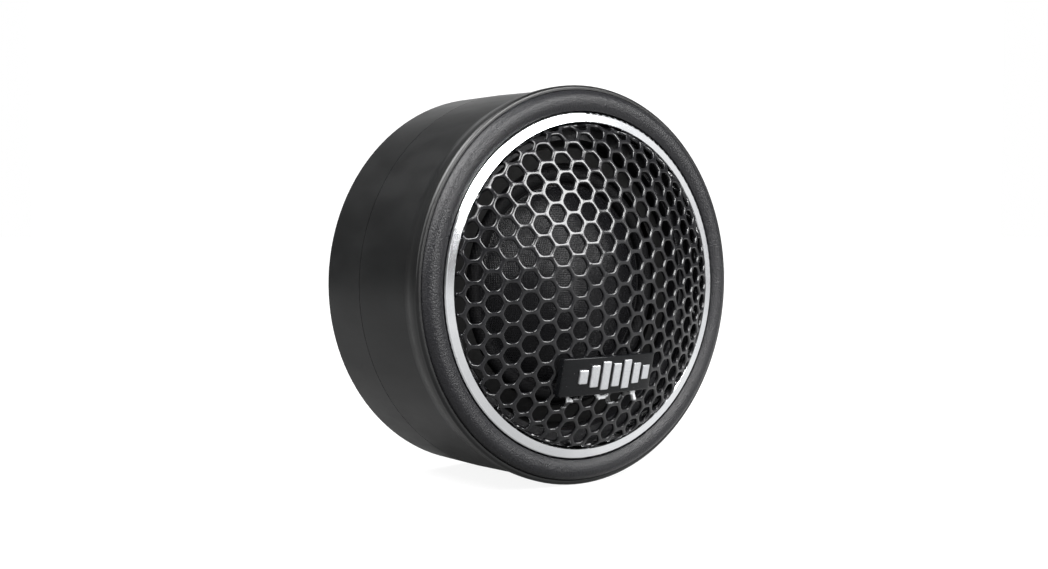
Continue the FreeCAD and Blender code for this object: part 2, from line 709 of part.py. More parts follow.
def all_pieces():
    return {
        "mounting_base": mounting_base(),
        "housing_sleeve": housing_sleeve(),
        "front_bezel": front_bezel(),
        "trim_ring": trim_ring(),
        "grille_mesh": grille_mesh(),
        "badge_pad": badge_pad(),
        "badge_plate": badge_plate(),
        "badge_emblem": badge_emblem(),
        "driver_frame": driver_frame(),
        "frame_screws": frame_screws(),
        "clamp_ring": clamp_ring(),
        "surround": surround(),
        "diaphragm_dome": diaphragm_dome(),
        "voice_coil_former": voice_coil_former(),
        "voice_coil_winding": voice_coil_winding(),
        "damping_pad": damping_pad(),
        "pole_plate": pole_plate(),
        "magnet": magnet(),
        "yoke_cup": yoke_cup(),
        "terminal_board": terminal_board(),
        "terminal_rivets": terminal_rivets(),
        "positive_terminal": terminal_tab(1),
        "negative_terminal": terminal_tab(-1),
        "coil_leads": coil_leads(),
        "high_pass_capacitor": high_pass_capacitor(),
        "capacitor_leads": capacitor_leads(),
    }


os.makedirs("parts", exist_ok=True)
for name, shape in all_pieces().items():
    piece = place(shape)
    piece.exportStep(os.path.join("parts", name + ".step"))
    print(name, len(piece.Solids), "solid(s)", round(piece.Volume, 1), "mm3", piece.isValid())
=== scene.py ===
"""Looks of the surface-mount car tweeter.

Lengths are in millimetres inside the builders and become metres where a mesh is made.
"Forward" is the distance from the panel along the speaker's axis, so it is -Y in the frame.
"""

import json
from math import asin, cos, hypot, pi, radians, sin, sqrt

import bmesh
import bpy
from mathutils import Matrix, Vector, noise
from mathutils.geometry import delaunay_2d_cdt


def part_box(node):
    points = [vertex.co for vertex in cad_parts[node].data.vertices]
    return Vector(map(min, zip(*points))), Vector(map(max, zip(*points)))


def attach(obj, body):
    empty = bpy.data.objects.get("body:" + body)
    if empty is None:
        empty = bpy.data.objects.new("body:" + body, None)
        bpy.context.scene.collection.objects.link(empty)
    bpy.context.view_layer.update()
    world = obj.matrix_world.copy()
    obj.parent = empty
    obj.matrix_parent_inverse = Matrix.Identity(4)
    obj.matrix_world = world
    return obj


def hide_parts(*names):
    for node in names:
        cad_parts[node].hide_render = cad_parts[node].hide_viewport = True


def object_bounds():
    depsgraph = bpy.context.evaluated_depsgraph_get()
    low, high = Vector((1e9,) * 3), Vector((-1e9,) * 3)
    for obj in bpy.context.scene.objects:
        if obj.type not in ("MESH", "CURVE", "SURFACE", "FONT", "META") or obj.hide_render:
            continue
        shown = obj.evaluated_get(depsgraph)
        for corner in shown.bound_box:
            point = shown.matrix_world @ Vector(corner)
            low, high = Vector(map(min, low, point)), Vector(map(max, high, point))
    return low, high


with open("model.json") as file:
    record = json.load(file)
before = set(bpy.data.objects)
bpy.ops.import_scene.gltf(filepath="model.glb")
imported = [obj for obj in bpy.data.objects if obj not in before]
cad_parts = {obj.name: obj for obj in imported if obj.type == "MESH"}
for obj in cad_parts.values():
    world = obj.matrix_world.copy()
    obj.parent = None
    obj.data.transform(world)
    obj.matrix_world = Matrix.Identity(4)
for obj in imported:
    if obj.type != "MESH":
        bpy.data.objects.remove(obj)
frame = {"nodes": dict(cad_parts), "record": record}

MM = 0.001
WELD = 1e-7               # points closer than this, in metres, become one
TOUCH = 0.02              # gap or overlap between two faces that lie on each other, in mm
CAD_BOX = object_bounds()
NODES = frame["nodes"]
NODE_SLOTS = {part["node"]: part["material_slot"] for part in frame["record"]["subparts"]}
scene = bpy.context.scene


# Camera

SENSOR_WIDTH = 36
CLIP = (0.005, 20)        # nearest and furthest distance in view, in metres


def look_from(place, ahead, lens):
    data = bpy.data.cameras.new("camera")
    data.lens = lens
    data.sensor_width = SENSOR_WIDTH
    data.clip_start, data.clip_end = CLIP
    camera = bpy.data.objects.new("camera", data)
    scene.collection.objects.link(camera)
    camera.location = Vector(place) * MM
    camera.rotation_euler = Vector(ahead).to_track_quat("-Z", "Y").to_euler()
    scene.camera = camera


look_from(place=(-103.5, -144.5, 7.4), ahead=(0.6049, 0.7950, -0.0449), lens=44.1)
scene.view_settings.view_transform = "Standard"


# Measures taken from the frame

def reach(node):
    """(largest radius, nearest and furthest forward) of a round CAD node, in mm."""
    low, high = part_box(node)
    return max(high.x, -low.x) / MM, -high.y / MM, -low.y / MM


# Badge measures, in mm: places are (right, up) as seen from the front

BADGE_CENTRE = (-0.95, -10.6)
BADGE_SIZE = (14.2, 4.7)
BADGE_RISE = (0.3, 1.1)
EMBLEM_RISE = 0.25
PAD_INSET = 0.5           # from the plate's edge in to the foam's
PAD_CORNER, PAD_BEVEL = 0.3, 0.08
PLATE_CORNER, PLATE_BEVEL = 0.25, 0.14
BAR_CORNER, BAR_BEVEL = 0.14, 0.1
BAR_HEIGHTS = (1.7, 2.7, 3.5, 2.9, 3.6, 2.6, 1.8)
BAR_STEP = 1.65
BAR_WIDTH = 1.2
BAR_SHIFT = 0.7           # the row stands right of the plate's middle


# Materials

class Look:
    """A Principled material with short calls for its node graph."""

    def __init__(self, name, color, rough, metal=0.0, **fixed):
        self.material = bpy.data.materials.new(name)
        self.material.use_nodes = True
        self.tree = self.material.node_tree
        self.shader = self.tree.nodes["Principled BSDF"]
        self.shader.inputs["Base Color"].default_value = (*color, 1)
        self.shader.inputs["Roughness"].default_value = rough
        self.shader.inputs["Metallic"].default_value = metal
        for socket, value in fixed.items():
            self.shader.inputs[socket.replace("_", " ")].default_value = value
        self.color = (*color, 1)
        self.paint = None
        self.rough = rough
        self.height = None

    def node(self, kind, **settings):
        node = self.tree.nodes.new("ShaderNode" + kind)
        for key, value in settings.items():
            setattr(node, key, value)
        return node

    def link(self, output, socket):
        self.tree.links.new(output, socket)

    def math(self, operation, a, b=None):
        node = self.node("Math", operation=operation)
        for socket, value in zip(node.inputs, (a, b)):
            if value is None:
                continue
            if isinstance(value, (int, float)):
                socket.default_value = value
            else:
                self.link(value, socket)
        return node.outputs[0]

    def place(self):
        return self.node("TexCoord").outputs["Object"]

    def parts(self):
        """The place's X, Y and Z, in metres."""
        split = self.node("SeparateXYZ")
        self.link(self.place(), split.inputs[0])
        return split.outputs

    def join(self, x, y, z):
        node = self.node("CombineXYZ")
        for socket, value in zip(node.inputs, (x, y, z)):
            if isinstance(value, (int, float)):
                socket.default_value = value
            else:
                self.link(value, socket)
        return node.outputs[0]

    def distance(self, x, y):
        squares = self.math("ADD", self.math("MULTIPLY", x, x), self.math("MULTIPLY", y, y))
        return self.math("SQRT", squares)

    def round_place(self, around, across, along):
        """Angle about the speaker's axis, radius and depth, each scaled."""
        x, y, z = self.parts()
        angle = self.math("MULTIPLY", self.math("ARCTAN2", z, x), around)
        radius = self.math("MULTIPLY", self.distance(x, z), across)
        return self.join(angle, radius, self.math("MULTIPLY", y, along))

    def noise(self, scale, detail=4.0, rough=0.5, where=None):
        node = self.node("TexNoise")
        node.inputs["Scale"].default_value = scale
        node.inputs["Detail"].default_value = detail
        node.inputs["Roughness"].default_value = rough
        self.link(where or self.place(), node.inputs["Vector"])
        return node.outputs["Fac"]

    def cells(self, scale):
        node = self.node("TexVoronoi")
        node.inputs["Scale"].default_value = scale
        self.link(self.place(), node.inputs["Vector"])
        return node.outputs["Distance"]

    def span(self, value, low, high, to_low=0.0, to_high=1.0):
        node = self.node("MapRange")
        self.link(value, node.inputs["Value"])
        ends = (low, high, to_low, to_high)
        for socket, end in zip(("From Min", "From Max", "To Min", "To Max"), ends):
            node.inputs[socket].default_value = end
        return node.outputs["Result"]

    def waves(self, value, period):
        """Even ridges, 0 to 1, along a coordinate in metres."""
        turn = self.math("MULTIPLY", value, 2 * pi / period)
        return self.span(self.math("SINE", turn), -1, 1)

    def tint(self, fac, other):
        """Each call mixes another colour over the earlier ones, by a factor from 0 to 1."""
        mix = self.node("Mix", data_type="RGBA")
        mix.inputs["A"].default_value = self.color
        if self.paint:
            self.link(self.paint, mix.inputs["A"])
        mix.inputs["B"].default_value = (*other, 1)
        self.link(fac, mix.inputs["Factor"])
        self.paint = mix.outputs["Result"]
        self.link(self.paint, self.shader.inputs["Base Color"])

    def vary_rough(self, fac, spread):
        result = self.span(fac, 0.3, 0.7, self.rough - spread, self.rough + spread)
        self.link(result, self.shader.inputs["Roughness"])

    def bump(self, fac, strength, distance):
        """Each call adds a layer over the earlier ones."""
        node = self.node("Bump")
        node.inputs["Strength"].default_value = strength
        node.inputs["Distance"].default_value = distance
        self.link(fac, node.inputs["Height"])
        if self.height:
            self.link(self.height, node.inputs["Normal"])
        self.height = node.outputs["Normal"]
        self.link(self.height, self.shader.inputs["Normal"])


def body_plastic():
    """Smooth satin black moulding: faint flow clouds, a fine skin and handling marks."""
    look = Look("body_plastic", (0.0024, 0.0025, 0.0026), 0.33, Specular_IOR_Level=0.34)
    clouds = look.noise(160, 5)
    look.tint(look.span(clouds, 0.35, 0.65), (0.0040, 0.0042, 0.0043))
    flow = look.noise(1.0, 3, 0.5, look.round_place(9, 900, 160))
    look.vary_rough(flow, 0.035)
    look.bump(look.noise(5200, 2), 0.1, 0.00002)
    look.bump(look.noise(900, 3), 0.05, 0.00003)
    return look.material


def bezel_plastic():
    """Spark-eroded grain: small rounded pits that break up the highlights."""
    look = Look("bezel_plastic", (0.0045, 0.0045, 0.0052), 0.35, Specular_IOR_Level=0.27)
    grain = look.noise(4200, 3, 0.7)
    pits = look.span(look.cells(4300), 0.0, 0.6)
    look.tint(look.span(grain, 0.3, 0.7), (0.0095, 0.0095, 0.011))
    look.vary_rough(look.noise(1500, 3), 0.08)
    look.bump(grain, 0.8, 0.00009)
    look.bump(pits, 0.5, 0.00004)
    return look.material


def trim_aluminium():
    """Satin anodised ring with fine turning marks round it and a few dark specks."""
    look = Look("trim_aluminium", (0.74, 0.75, 0.76), 0.16, 1.0)
    marks = look.noise(1.0, 3, 0.6, look.round_place(6, 42000, 42000))
    look.tint(look.span(look.noise(300, 4), 0.3, 0.7), (0.66, 0.67, 0.69))
    specks = look.span(look.noise(2600, 2), 0.7, 0.78)
    look.tint(specks, (0.35, 0.35, 0.37))
    look.vary_rough(marks, 0.06)
    look.bump(marks, 0.07, 0.00001)
    return look.material


# Painted highlight on the grille just below the badge, in metres: each pair is where it has faded
# out and where it is full.

STRIP_HALF_WIDTH = (0.0068, 0.0062)
STRIP_LOWER_EDGE = (0.0016, 0.0013)      # below the badge's lower edge
STRIP_UPPER_EDGE = (-0.0004, -0.0002)


def painted_glint_strip(look):
    """Strip just below the badge where the bars are painted bright grey: a painted highlight, as
    if their edges caught the light.
    """
    x, _, z = look.parts()
    side = look.math("ABSOLUTE", look.math("SUBTRACT", x, BADGE_CENTRE[0] * MM))
    edge = (BADGE_CENTRE[1] - BADGE_SIZE[1] / 2) * MM
    drop = look.math("SUBTRACT", edge, z)
    across = look.span(side, *STRIP_HALF_WIDTH)
    lower = look.span(drop, *STRIP_LOWER_EDGE)
    near = look.math("MULTIPLY", lower, look.span(drop, *STRIP_UPPER_EDGE))
    return look.math("MULTIPLY", across, near)


def grille_steel():
    """Semi-gloss black powder coat with slight orange peel, and a painted highlight on the bars
    just below the badge.
    """
    look = Look("grille_steel", (0.003, 0.003, 0.0035), 0.18, Specular_IOR_Level=0.42)
    look.tint(look.span(look.noise(2500, 2), 0.3, 0.7), (0.008, 0.008, 0.009))
    # bright grey painted on the bars just below the badge: a painted highlight
    painted_glint = look.math("MULTIPLY", painted_glint_strip(look), look.span(look.noise(520, 3), 0.47, 0.53))
    look.tint(painted_glint, (0.6, 0.61, 0.62))
    look.vary_rough(look.noise(900, 4), 0.05)
    look.bump(look.noise(1800, 2), 0.25, 0.00003)
    look.bump(look.noise(7000, 2), 0.12, 0.00002)
    return look.material


def badge_gloss():
    """Polished black lacquer over a metal plate, with hairlines and a few dust specks."""
    look = Look("badge_gloss", (0.003, 0.003, 0.0035), 0.1, Specular_IOR_Level=0.12,
                Coat_Weight=0.1, Coat_Roughness=0.05)
    x, _, z = look.parts()
    drawn_out = look.join(look.math("MULTIPLY", x, 600), 0, look.math("MULTIPLY", z, 14000))
    streaks = look.noise(1.0, 3, 0.6, drawn_out)
    look.tint(look.span(streaks, 0.35, 0.7), (0.005, 0.0055, 0.006))
    look.tint(look.span(look.noise(5200, 1), 0.76, 0.82), (0.12, 0.12, 0.12))
    look.vary_rough(look.noise(1500, 4), 0.05)
    look.bump(streaks, 0.05, 0.00001)
    return look.material


def badge_silver():
    """Bright printed metal with a fine grain."""
    look = Look("badge_silver", (0.6, 0.61, 0.62), 0.36, 1.0)
    grain = look.noise(5200, 3, 0.6)
    look.tint(look.span(grain, 0.3, 0.7), (0.48, 0.49, 0.51))
    look.vary_rough(look.noise(2000, 3), 0.07)
    look.bump(grain, 0.15, 0.00001)
    return look.material


def woven(name, color, other, period, rough, **fixed):
    """Plain weave, its threads level and upright as seen from the front."""
    look = Look(name, color, rough, **fixed)
    x, _, z = look.parts()
    across = look.waves(x, period)
    up = look.waves(z, period)
    over = look.math("MAXIMUM", across, up)
    look.tint(look.span(over, 0.5, 1.0), other)
    look.vary_rough(look.noise(1800, 3), 0.06)
    look.bump(over, 0.5, period / 4)
    look.bump(look.noise(6000, 2), 0.2, 0.00002)
    return look.material


def dome_film():
    """Coated silk: the weave shows faintly through a glossy film."""
    return woven("dome_film", (0.004, 0.004, 0.0045), (0.007, 0.007, 0.008), 0.00022, 0.24,
                 Specular_IOR_Level=0.17)


def surround_cloth():
    return woven("surround_cloth", (0.002, 0.002, 0.0024), (0.005, 0.005, 0.0055), 0.0003, 0.5,
                 Specular_IOR_Level=0.08)


def coil_copper():
    """Enamelled copper wire, redder in random patches."""
    look = Look("coil_copper", (0.72, 0.33, 0.15), 0.26, 1.0, Coat_Weight=0.5, Coat_Roughness=0.15)
    look.tint(look.span(look.noise(700, 4), 0.4, 0.7), (0.55, 0.2, 0.08))
    look.vary_rough(look.noise(2500, 3), 0.08)
    look.bump(look.noise(4200, 2), 0.15, 0.00001)
    return look.material


def former_aluminium():
    look = Look("former_aluminium", (0.68, 0.68, 0.69), 0.3, 1.0)
    rolled = look.noise(1.0, 3, 0.6, look.round_place(4, 900, 22000))
    look.tint(look.span(rolled, 0.3, 0.7), (0.55, 0.55, 0.57))
    look.vary_rough(rolled, 0.07)
    look.bump(rolled, 0.15, 0.00001)
    return look.material


def felt():
    """Pressed grey wool: loose fibres in all directions."""
    look = Look("felt", (0.12, 0.12, 0.125), 0.95, Sheen_Weight=0.4, Sheen_Roughness=0.5)
    fibres = look.noise(2600, 6, 0.75)
    look.tint(look.span(fibres, 0.35, 0.65), (0.22, 0.22, 0.23))
    look.tint(look.span(look.noise(9000, 2), 0.62, 0.7), (0.42, 0.41, 0.4))
    look.vary_rough(look.noise(900, 3), 0.04)
    look.bump(fibres, 0.9, 0.0002)
    return look.material


def plated(name, color, other, rough, turned_marks=9000):
    """Zinc or nickel plate over turned steel: cloudy colour and fine rings."""
    look = Look(name, color, rough, 1.0)
    rings = look.noise(1.0, 3, 0.6, look.round_place(3, turned_marks, turned_marks))
    look.tint(look.span(look.noise(420, 5), 0.35, 0.7), other)
    look.vary_rough(rings, 0.08)
    look.bump(rings, 0.2, 0.00001)
    return look.material


def frame_plastic():
    """Glass-filled nylon: dull, with short lighter fibres at the skin."""
    look = Look("frame_plastic", (0.002, 0.002, 0.002), 0.5, Specular_IOR_Level=0.1)
    x, y, z = look.parts()
    thin_y, thin_z = look.math("MULTIPLY", y, 6000), look.math("MULTIPLY", z, 6000)
    fibres = look.noise(1.0, 2, 0.5, look.join(look.math("MULTIPLY", x, 900), thin_y, thin_z))
    look.tint(look.span(fibres, 0.62, 0.72), (0.008, 0.008, 0.008))
    look.vary_rough(look.noise(700, 4), 0.08)
    look.bump(look.noise(3000, 4), 0.25, 0.00003)
    return look.material


def adhesive_foam():
    """Closed-cell foam: small round cells, lighter walls."""
    look = Look("adhesive_foam", (0.02, 0.02, 0.02), 0.9)
    cells = look.cells(6500)
    look.tint(look.span(cells, 0.2, 0.7), (0.06, 0.06, 0.06))
    look.vary_rough(look.noise(3000, 2), 0.05)
    look.bump(cells, 0.8, 0.00008)
    return look.material


def terminal_paper():
    """Phenolic board: brown paper fibres under resin."""
    look = Look("terminal_paper", (0.19, 0.085, 0.03), 0.42)
    fibres = look.noise(1500, 6, 0.7)
    look.tint(look.span(fibres, 0.35, 0.65), (0.11, 0.045, 0.016))
    look.vary_rough(look.noise(2500, 3), 0.08)
    look.bump(fibres, 0.3, 0.00003)
    return look.material


def terminal_brass():
    """Tinned brass: the grey tin is worn to yellow on patches."""
    look = Look("terminal_brass", (0.66, 0.64, 0.6), 0.3, 1.0)
    look.tint(look.span(look.noise(900, 5), 0.55, 0.68), (0.72, 0.56, 0.28))
    scratches = look.noise(5000, 3, 0.7)
    look.vary_rough(scratches, 0.1)
    look.bump(scratches, 0.2, 0.00001)
    return look.material


STRIPE_AT = -0.9          # middle of the capacitor's stripe about the can's axis, in radians
STRIPE_HALF = (0.36, 0.33)


def capacitor_sleeve():
    """Shrunk plastic sleeve with a pale stripe down its outer side."""
    look = Look("capacitor_sleeve", (0.012, 0.03, 0.085), 0.28)
    low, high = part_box("high_pass_capacitor")
    middle = (low + high) / 2
    x, _, z = look.parts()
    right, up = look.math("SUBTRACT", x, middle.x), look.math("SUBTRACT", z, middle.z)
    turn = look.math("ARCTAN2", up, right)
    off = look.math("ABSOLUTE", look.math("ADD", turn, -STRIPE_AT))
    look.tint(look.span(off, *STRIPE_HALF), (0.5, 0.51, 0.53))
    look.vary_rough(look.noise(1200, 4), 0.07)
    look.bump(look.noise(900, 3), 0.3, 0.00005)
    return look.material


def lead_wire():
    look = Look("lead_wire", (0.7, 0.69, 0.67), 0.3, 1.0)
    dull = look.noise(1600, 4)
    look.tint(look.span(dull, 0.4, 0.7), (0.5, 0.49, 0.47))
    look.vary_rough(dull, 0.1)
    look.bump(look.noise(4000, 2), 0.2, 0.00001)
    return look.material


SLOTS = {
    "body_plastic": body_plastic(),
    "bezel_plastic": bezel_plastic(),
    "trim_aluminium": trim_aluminium(),
    "grille_steel": grille_steel(),
    "adhesive_foam": adhesive_foam(),
    "badge_gloss": badge_gloss(),
    "badge_silver": badge_silver(),
    "frame_plastic": frame_plastic(),
    "screw_steel": plated("screw_steel", (0.62, 0.62, 0.64), (0.5, 0.48, 0.42), 0.3, 20000),
    "surround_cloth": surround_cloth(),
    "dome_film": dome_film(),
    "former_aluminium": former_aluminium(),
    "coil_copper": coil_copper(),
    "felt": felt(),
    "motor_steel": plated("motor_steel", (0.6, 0.61, 0.63), (0.5, 0.5, 0.46), 0.34),
    "magnet_nickel": plated("magnet_nickel", (0.72, 0.7, 0.66), (0.62, 0.6, 0.56), 0.16),
    "terminal_paper": terminal_paper(),
    "terminal_brass": terminal_brass(),
    "capacitor_sleeve": capacitor_sleeve(),
    "lead_wire": lead_wire(),
}


# Mesh builders

def mesh_from(name, points, faces):
    """Mesh from points in mm, with its faces turned outwards."""
    mesh = bpy.data.meshes.new(name)
    mesh.from_pydata([Vector(p) * MM for p in points], [], faces)
    work = bmesh.new()
    work.from_mesh(mesh)
    bmesh.ops.remove_doubles(work, verts=work.verts, dist=WELD)
    bmesh.ops.recalc_face_normals(work, faces=work.faces)
    work.to_mesh(mesh)
    work.free()
    return mesh


def add_piece(name, mesh, body, node, sharp=35):
    """Object that stands for a CAD node and takes its material slot."""
    mesh.shade_smooth()
    mesh.set_sharp_from_angle(angle=radians(sharp))
    piece = bpy.data.objects.new(name, mesh)
    scene.collection.objects.link(piece)
    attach(piece, body)
    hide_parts(node)
    mesh.materials.append(SLOTS[NODE_SLOTS[node]])
    return piece


def arc_points(centre, radius, start, end, steps):
    """Points of an arc of (radius, forward) places; its angles run from outwards to forward."""
    points = []
    for k in range(steps + 1):
        a = radians(start + (end - start) * k / steps)
        points.append((centre[0] + radius * cos(a), centre[1] + radius * sin(a)))
    return points


def lathe(outline, steps=240):
    """Points and faces of a closed outline of (radius, forward) places turned about the axis."""
    points, faces = [], []
    count = len(outline)
    for i in range(steps):
        a = 2 * pi * i / steps
        points += [(r * cos(a), -s, r * sin(a)) for r, s in outline]
    for i in range(steps):
        n = (i + 1) % steps
        for j in range(count):
            k = (j + 1) % count
            faces.append((i * count + j, i * count + k, n * count + k, n * count + j))
    return points, faces


# Grille

PITCH = 2.58
HOLE_FLATS = 2.04
HOLE_CORNER = 0.6
HOLE_EDGE = 0.17          # rounding of each hole's rim
LATTICE_TURN = radians(2.34)
LATTICE_ORIGIN = Vector((-6.1, 13.09))
LATTICE_COLUMNS = range(-16, 22)
LATTICE_ROWS = range(-22, 22)
BALL_R = 44.0
APEX = reach("grille_mesh")[2]
SHEET = 0.5
FLANGE_WIDTH = 1.4
SKIRT_MARGIN = 0.05       # least plain sheet between a hole's rim and the foot of the skirt
RIM_STEPS = 240           # points in each plain ring round the edge of the sheet
RIM_ROWS, RIM_ROW_STEP = 6, 0.5
RIM_CLEAR = 0.12          # least distance from a plain ring's point to a hole's rim


class Sheet:
    """The pressed sheet's section, measured along its outer surface from the apex."""

    bend = 1.4
    foot_bend = 0.15

    def __init__(self):
        self.flange_r, low, _ = reach("grille_mesh")
        self.foot = low + SHEET
        self.skirt_r = self.flange_r - FLANGE_WIDTH
        self.bend_r = self.skirt_r - self.bend
        inner = BALL_R - self.bend
        self.lean = asin(self.bend_r / inner)
        self.bend_at = APEX - BALL_R + sqrt(inner ** 2 - self.bend_r ** 2)
        self.dome_run = BALL_R * self.lean
        self.bend_run = self.dome_run + self.bend * (pi / 2 - self.lean)
        self.skirt_run = self.bend_run + self.bend_at - self.foot - self.foot_bend
        self.foot_run = self.skirt_run + self.foot_bend * pi / 2
        self.flange_run = self.foot_run + self.flange_r - self.skirt_r - self.foot_bend

    def section(self, run):
        """Radius, place forward and tilt of the surface at a run from the apex."""
        if run < self.dome_run:
            tilt = run / BALL_R
            return BALL_R * sin(tilt), APEX - BALL_R * (1 - cos(tilt)), tilt
        if run < self.bend_run:
            tilt = self.lean + (run - self.dome_run) / self.bend
            return self.bend_r + self.bend * sin(tilt), self.bend_at + self.bend * cos(tilt), tilt
        if run < self.skirt_run:
            return self.skirt_r, self.bend_at - (run - self.bend_run), pi / 2
        centre_r = self.skirt_r + self.foot_bend
        if run < self.foot_run:
            turn = (run - self.skirt_run) / self.foot_bend
            r = centre_r - self.foot_bend * cos(turn)
            return r, self.foot + self.foot_bend * (1 - sin(turn)), pi / 2 - turn
        return centre_r + run - self.foot_run, self.foot, 0.0

    def point(self, u, v, depth):
        """Place in mm of a point of the flat sheet, at a depth under its outer surface."""
        run = hypot(u, v)
        r, s, tilt = self.section(run)
        r -= depth * sin(tilt)
        s -= depth * cos(tilt)
        if not run:
            return (0, -s, 0)
        return (r * u / run, -s, r * v / run)


def hole_outline(centre, grow, corner_steps=4):
    """Rounded hexagon with flats at top and bottom, grown outwards."""
    flat, soft = HOLE_FLATS / 2 + grow, HOLE_CORNER + grow
    points = []
    for corner in range(6):
        way = LATTICE_TURN + corner * pi / 3
        hub = centre + Vector((cos(way), sin(way))) * (flat - soft) / cos(pi / 6)
        for k in range(corner_steps + 1):
            a = way + (k / corner_steps - 0.5) * pi / 3
            points.append(hub + Vector((cos(a), sin(a))) * soft)
    return points


def lattice(limit):
    """Centres of the holes, in columns, out to a run from the apex."""
    column = PITCH * sqrt(3) / 2
    turn = Matrix.Rotation(LATTICE_TURN, 2)
    centres = []
    for i in LATTICE_COLUMNS:
        for j in LATTICE_ROWS:
            spot = Vector((i * column, (j + (i % 2) / 2) * PITCH))
            centre = LATTICE_ORIGIN + turn @ spot
            if centre.length < limit:
                centres.append(centre)
    return centres


def hole_walls(steps=3):
    """(growth, depth) down a hole's wall, with both of its rims rounded."""
    walls = []
    for k in range(steps):
        a = k / steps * pi / 2
        walls.append((HOLE_EDGE * (1 - sin(a)), HOLE_EDGE * (1 - cos(a))))
    walls.append((0, HOLE_EDGE))
    for k in range(steps + 1):
        a = k / steps * pi / 2
        walls.append((HOLE_EDGE * (1 - cos(a)), SHEET - HOLE_EDGE * (1 - sin(a))))
    return walls


def grille_dome():
    """Flat sheet with its holes, meshed as one triangulation and pressed into its form."""
    sheet = Sheet()
    centres = lattice(sheet.skirt_run - HOLE_FLATS / 2 - HOLE_EDGE - SKIRT_MARGIN)
    clear = HOLE_FLATS / 2 + HOLE_EDGE + RIM_CLEAR
    per = len(hole_outline(centres[0], 0))
    flat, owner = [], []
    for n, centre in enumerate(centres):
        flat += hole_outline(centre, HOLE_EDGE)
        owner += [n] * per
    rim_start = len(flat)
    middle_foot = (sheet.skirt_run + sheet.foot_run) / 2
    runs = [sheet.flange_run, sheet.foot_run, middle_foot, sheet.skirt_run]
    runs += [sheet.skirt_run - RIM_ROW_STEP * k for k in range(1, RIM_ROWS + 1)]
    for run in runs:
        for k in range(RIM_STEPS):
            a = 2 * pi * k / RIM_STEPS
            p = Vector((run * cos(a), run * sin(a)))
            if run >= sheet.skirt_run or all((p - c).length > clear for c in centres):
                flat.append(p)
                owner.append(-1)
    borders = []
    for n in range(len(centres)):
        borders += [(n * per + k, n * per + (k + 1) % per) for k in range(per)]
    _, _, triangles, sources, _, _ = delaunay_2d_cdt(flat, borders, [], 0, 1e-6)

    points = [sheet.point(p.x, p.y, 0) for p in flat]
    faces = []
    under = {}
    for i, p in enumerate(flat):
        if owner[i] < 0:
            under[i] = len(points)
            points.append(sheet.point(p.x, p.y, SHEET))
    for n, centre in enumerate(centres):
        before = [n * per + k for k in range(per)]
        for grow, depth in hole_walls()[1:]:
            ring = [len(points) + k for k in range(per)]
            points += [sheet.point(p.x, p.y, depth) for p in hole_outline(centre, grow)]
            for k in range(per):
                m = (k + 1) % per
                faces.append((before[k], before[m], ring[m], ring[k]))
            before = ring
        for k in range(per):
            under[n * per + k] = before[k]
    for triangle in triangles:
        a, b, c = (sources[t][0] for t in triangle)
        if owner[a] == owner[b] == owner[c] >= 0:
            continue
        faces.append((a, b, c))
        faces.append((under[c], under[b], under[a]))
    for k in range(RIM_STEPS):
        a, b = rim_start + k, rim_start + (k + 1) % RIM_STEPS
        faces.append((a, b, under[b], under[a]))
    mesh = mesh_from("perforated_dome", points, faces)
    add_piece("perforated_grille_dome", mesh, "pod", "grille_mesh", sharp=50)


# Badge

LEAST_CORNER = 0.02       # radius kept by a block's corners on its top face
BEVEL_STEPS = 4
FACE_RINGS = 8            # rings from the top face's edge to its middle


def on_badge(x, y, rise):
    """Place of a point of the badge's own plane, lifted off the grille's dome."""
    u = BADGE_CENTRE[0] + x
    v = BADGE_CENTRE[1] + y
    s = APEX - BALL_R + sqrt((BALL_R + rise) ** 2 - u ** 2 - v ** 2)
    return (u, -s, v)


def rounded_box(half_w, half_h, soft, steps=5, along=10):
    """Outline of a rectangle with round corners and points along its long sides."""
    corners = ((1, 1, 0), (-1, 1, 90), (-1, -1, 180), (1, -1, 270))
    points = []
    for sx, sy, start in corners:
        cx, cy = sx * (half_w - soft), sy * (half_h - soft)
        for k in range(steps + 1):
            a = radians(start + 90 * k / steps)
            points.append((cx + soft * cos(a), cy + soft * sin(a)))
        if start in (0, 180):
            for k in range(1, along):
                points.append((cx * (1 - 2 * k / along), points[-1][1]))
    return points


def cushion_block(middle, half_w, half_h, soft, low, high, bevel):
    """Closed block on the badge's curve, with a rounded upper edge."""
    levels = [(0.0, low), (0.0, high - bevel)]
    for k in range(1, BEVEL_STEPS + 1):
        a = k / BEVEL_STEPS * pi / 2
        levels.append((bevel * (1 - cos(a)), high - bevel * (1 - sin(a))))
    points, faces = [], []

    def ring(scale, inset, rise):
        first = len(points)
        for x, y in rounded_box(half_w - inset, half_h - inset, max(soft - inset, LEAST_CORNER)):
            points.append(on_badge(middle[0] + x * scale, middle[1] + y * scale, rise))
        return list(range(first, len(points)))

    def join(a, b):
        for k in range(len(a)):
            m = (k + 1) % len(a)
            faces.append((a[k], a[m], b[m], b[k]))

    rings = [ring(1, inset, rise) for inset, rise in levels]
    for k in range(1, FACE_RINGS):
        rings.append(ring(1 - k / FACE_RINGS, bevel, high))
    for a, b in zip(rings, rings[1:]):
        join(a, b)
    faces.append(tuple(rings[-1]))
    faces.append(tuple(reversed(rings[0])))
    return points, faces


def merge(blocks):
    points, faces = [], []
    for block_points, block_faces in blocks:
        first = len(points)
        points += block_points
        faces += [tuple(first + i for i in face) for face in block_faces]
    return points, faces


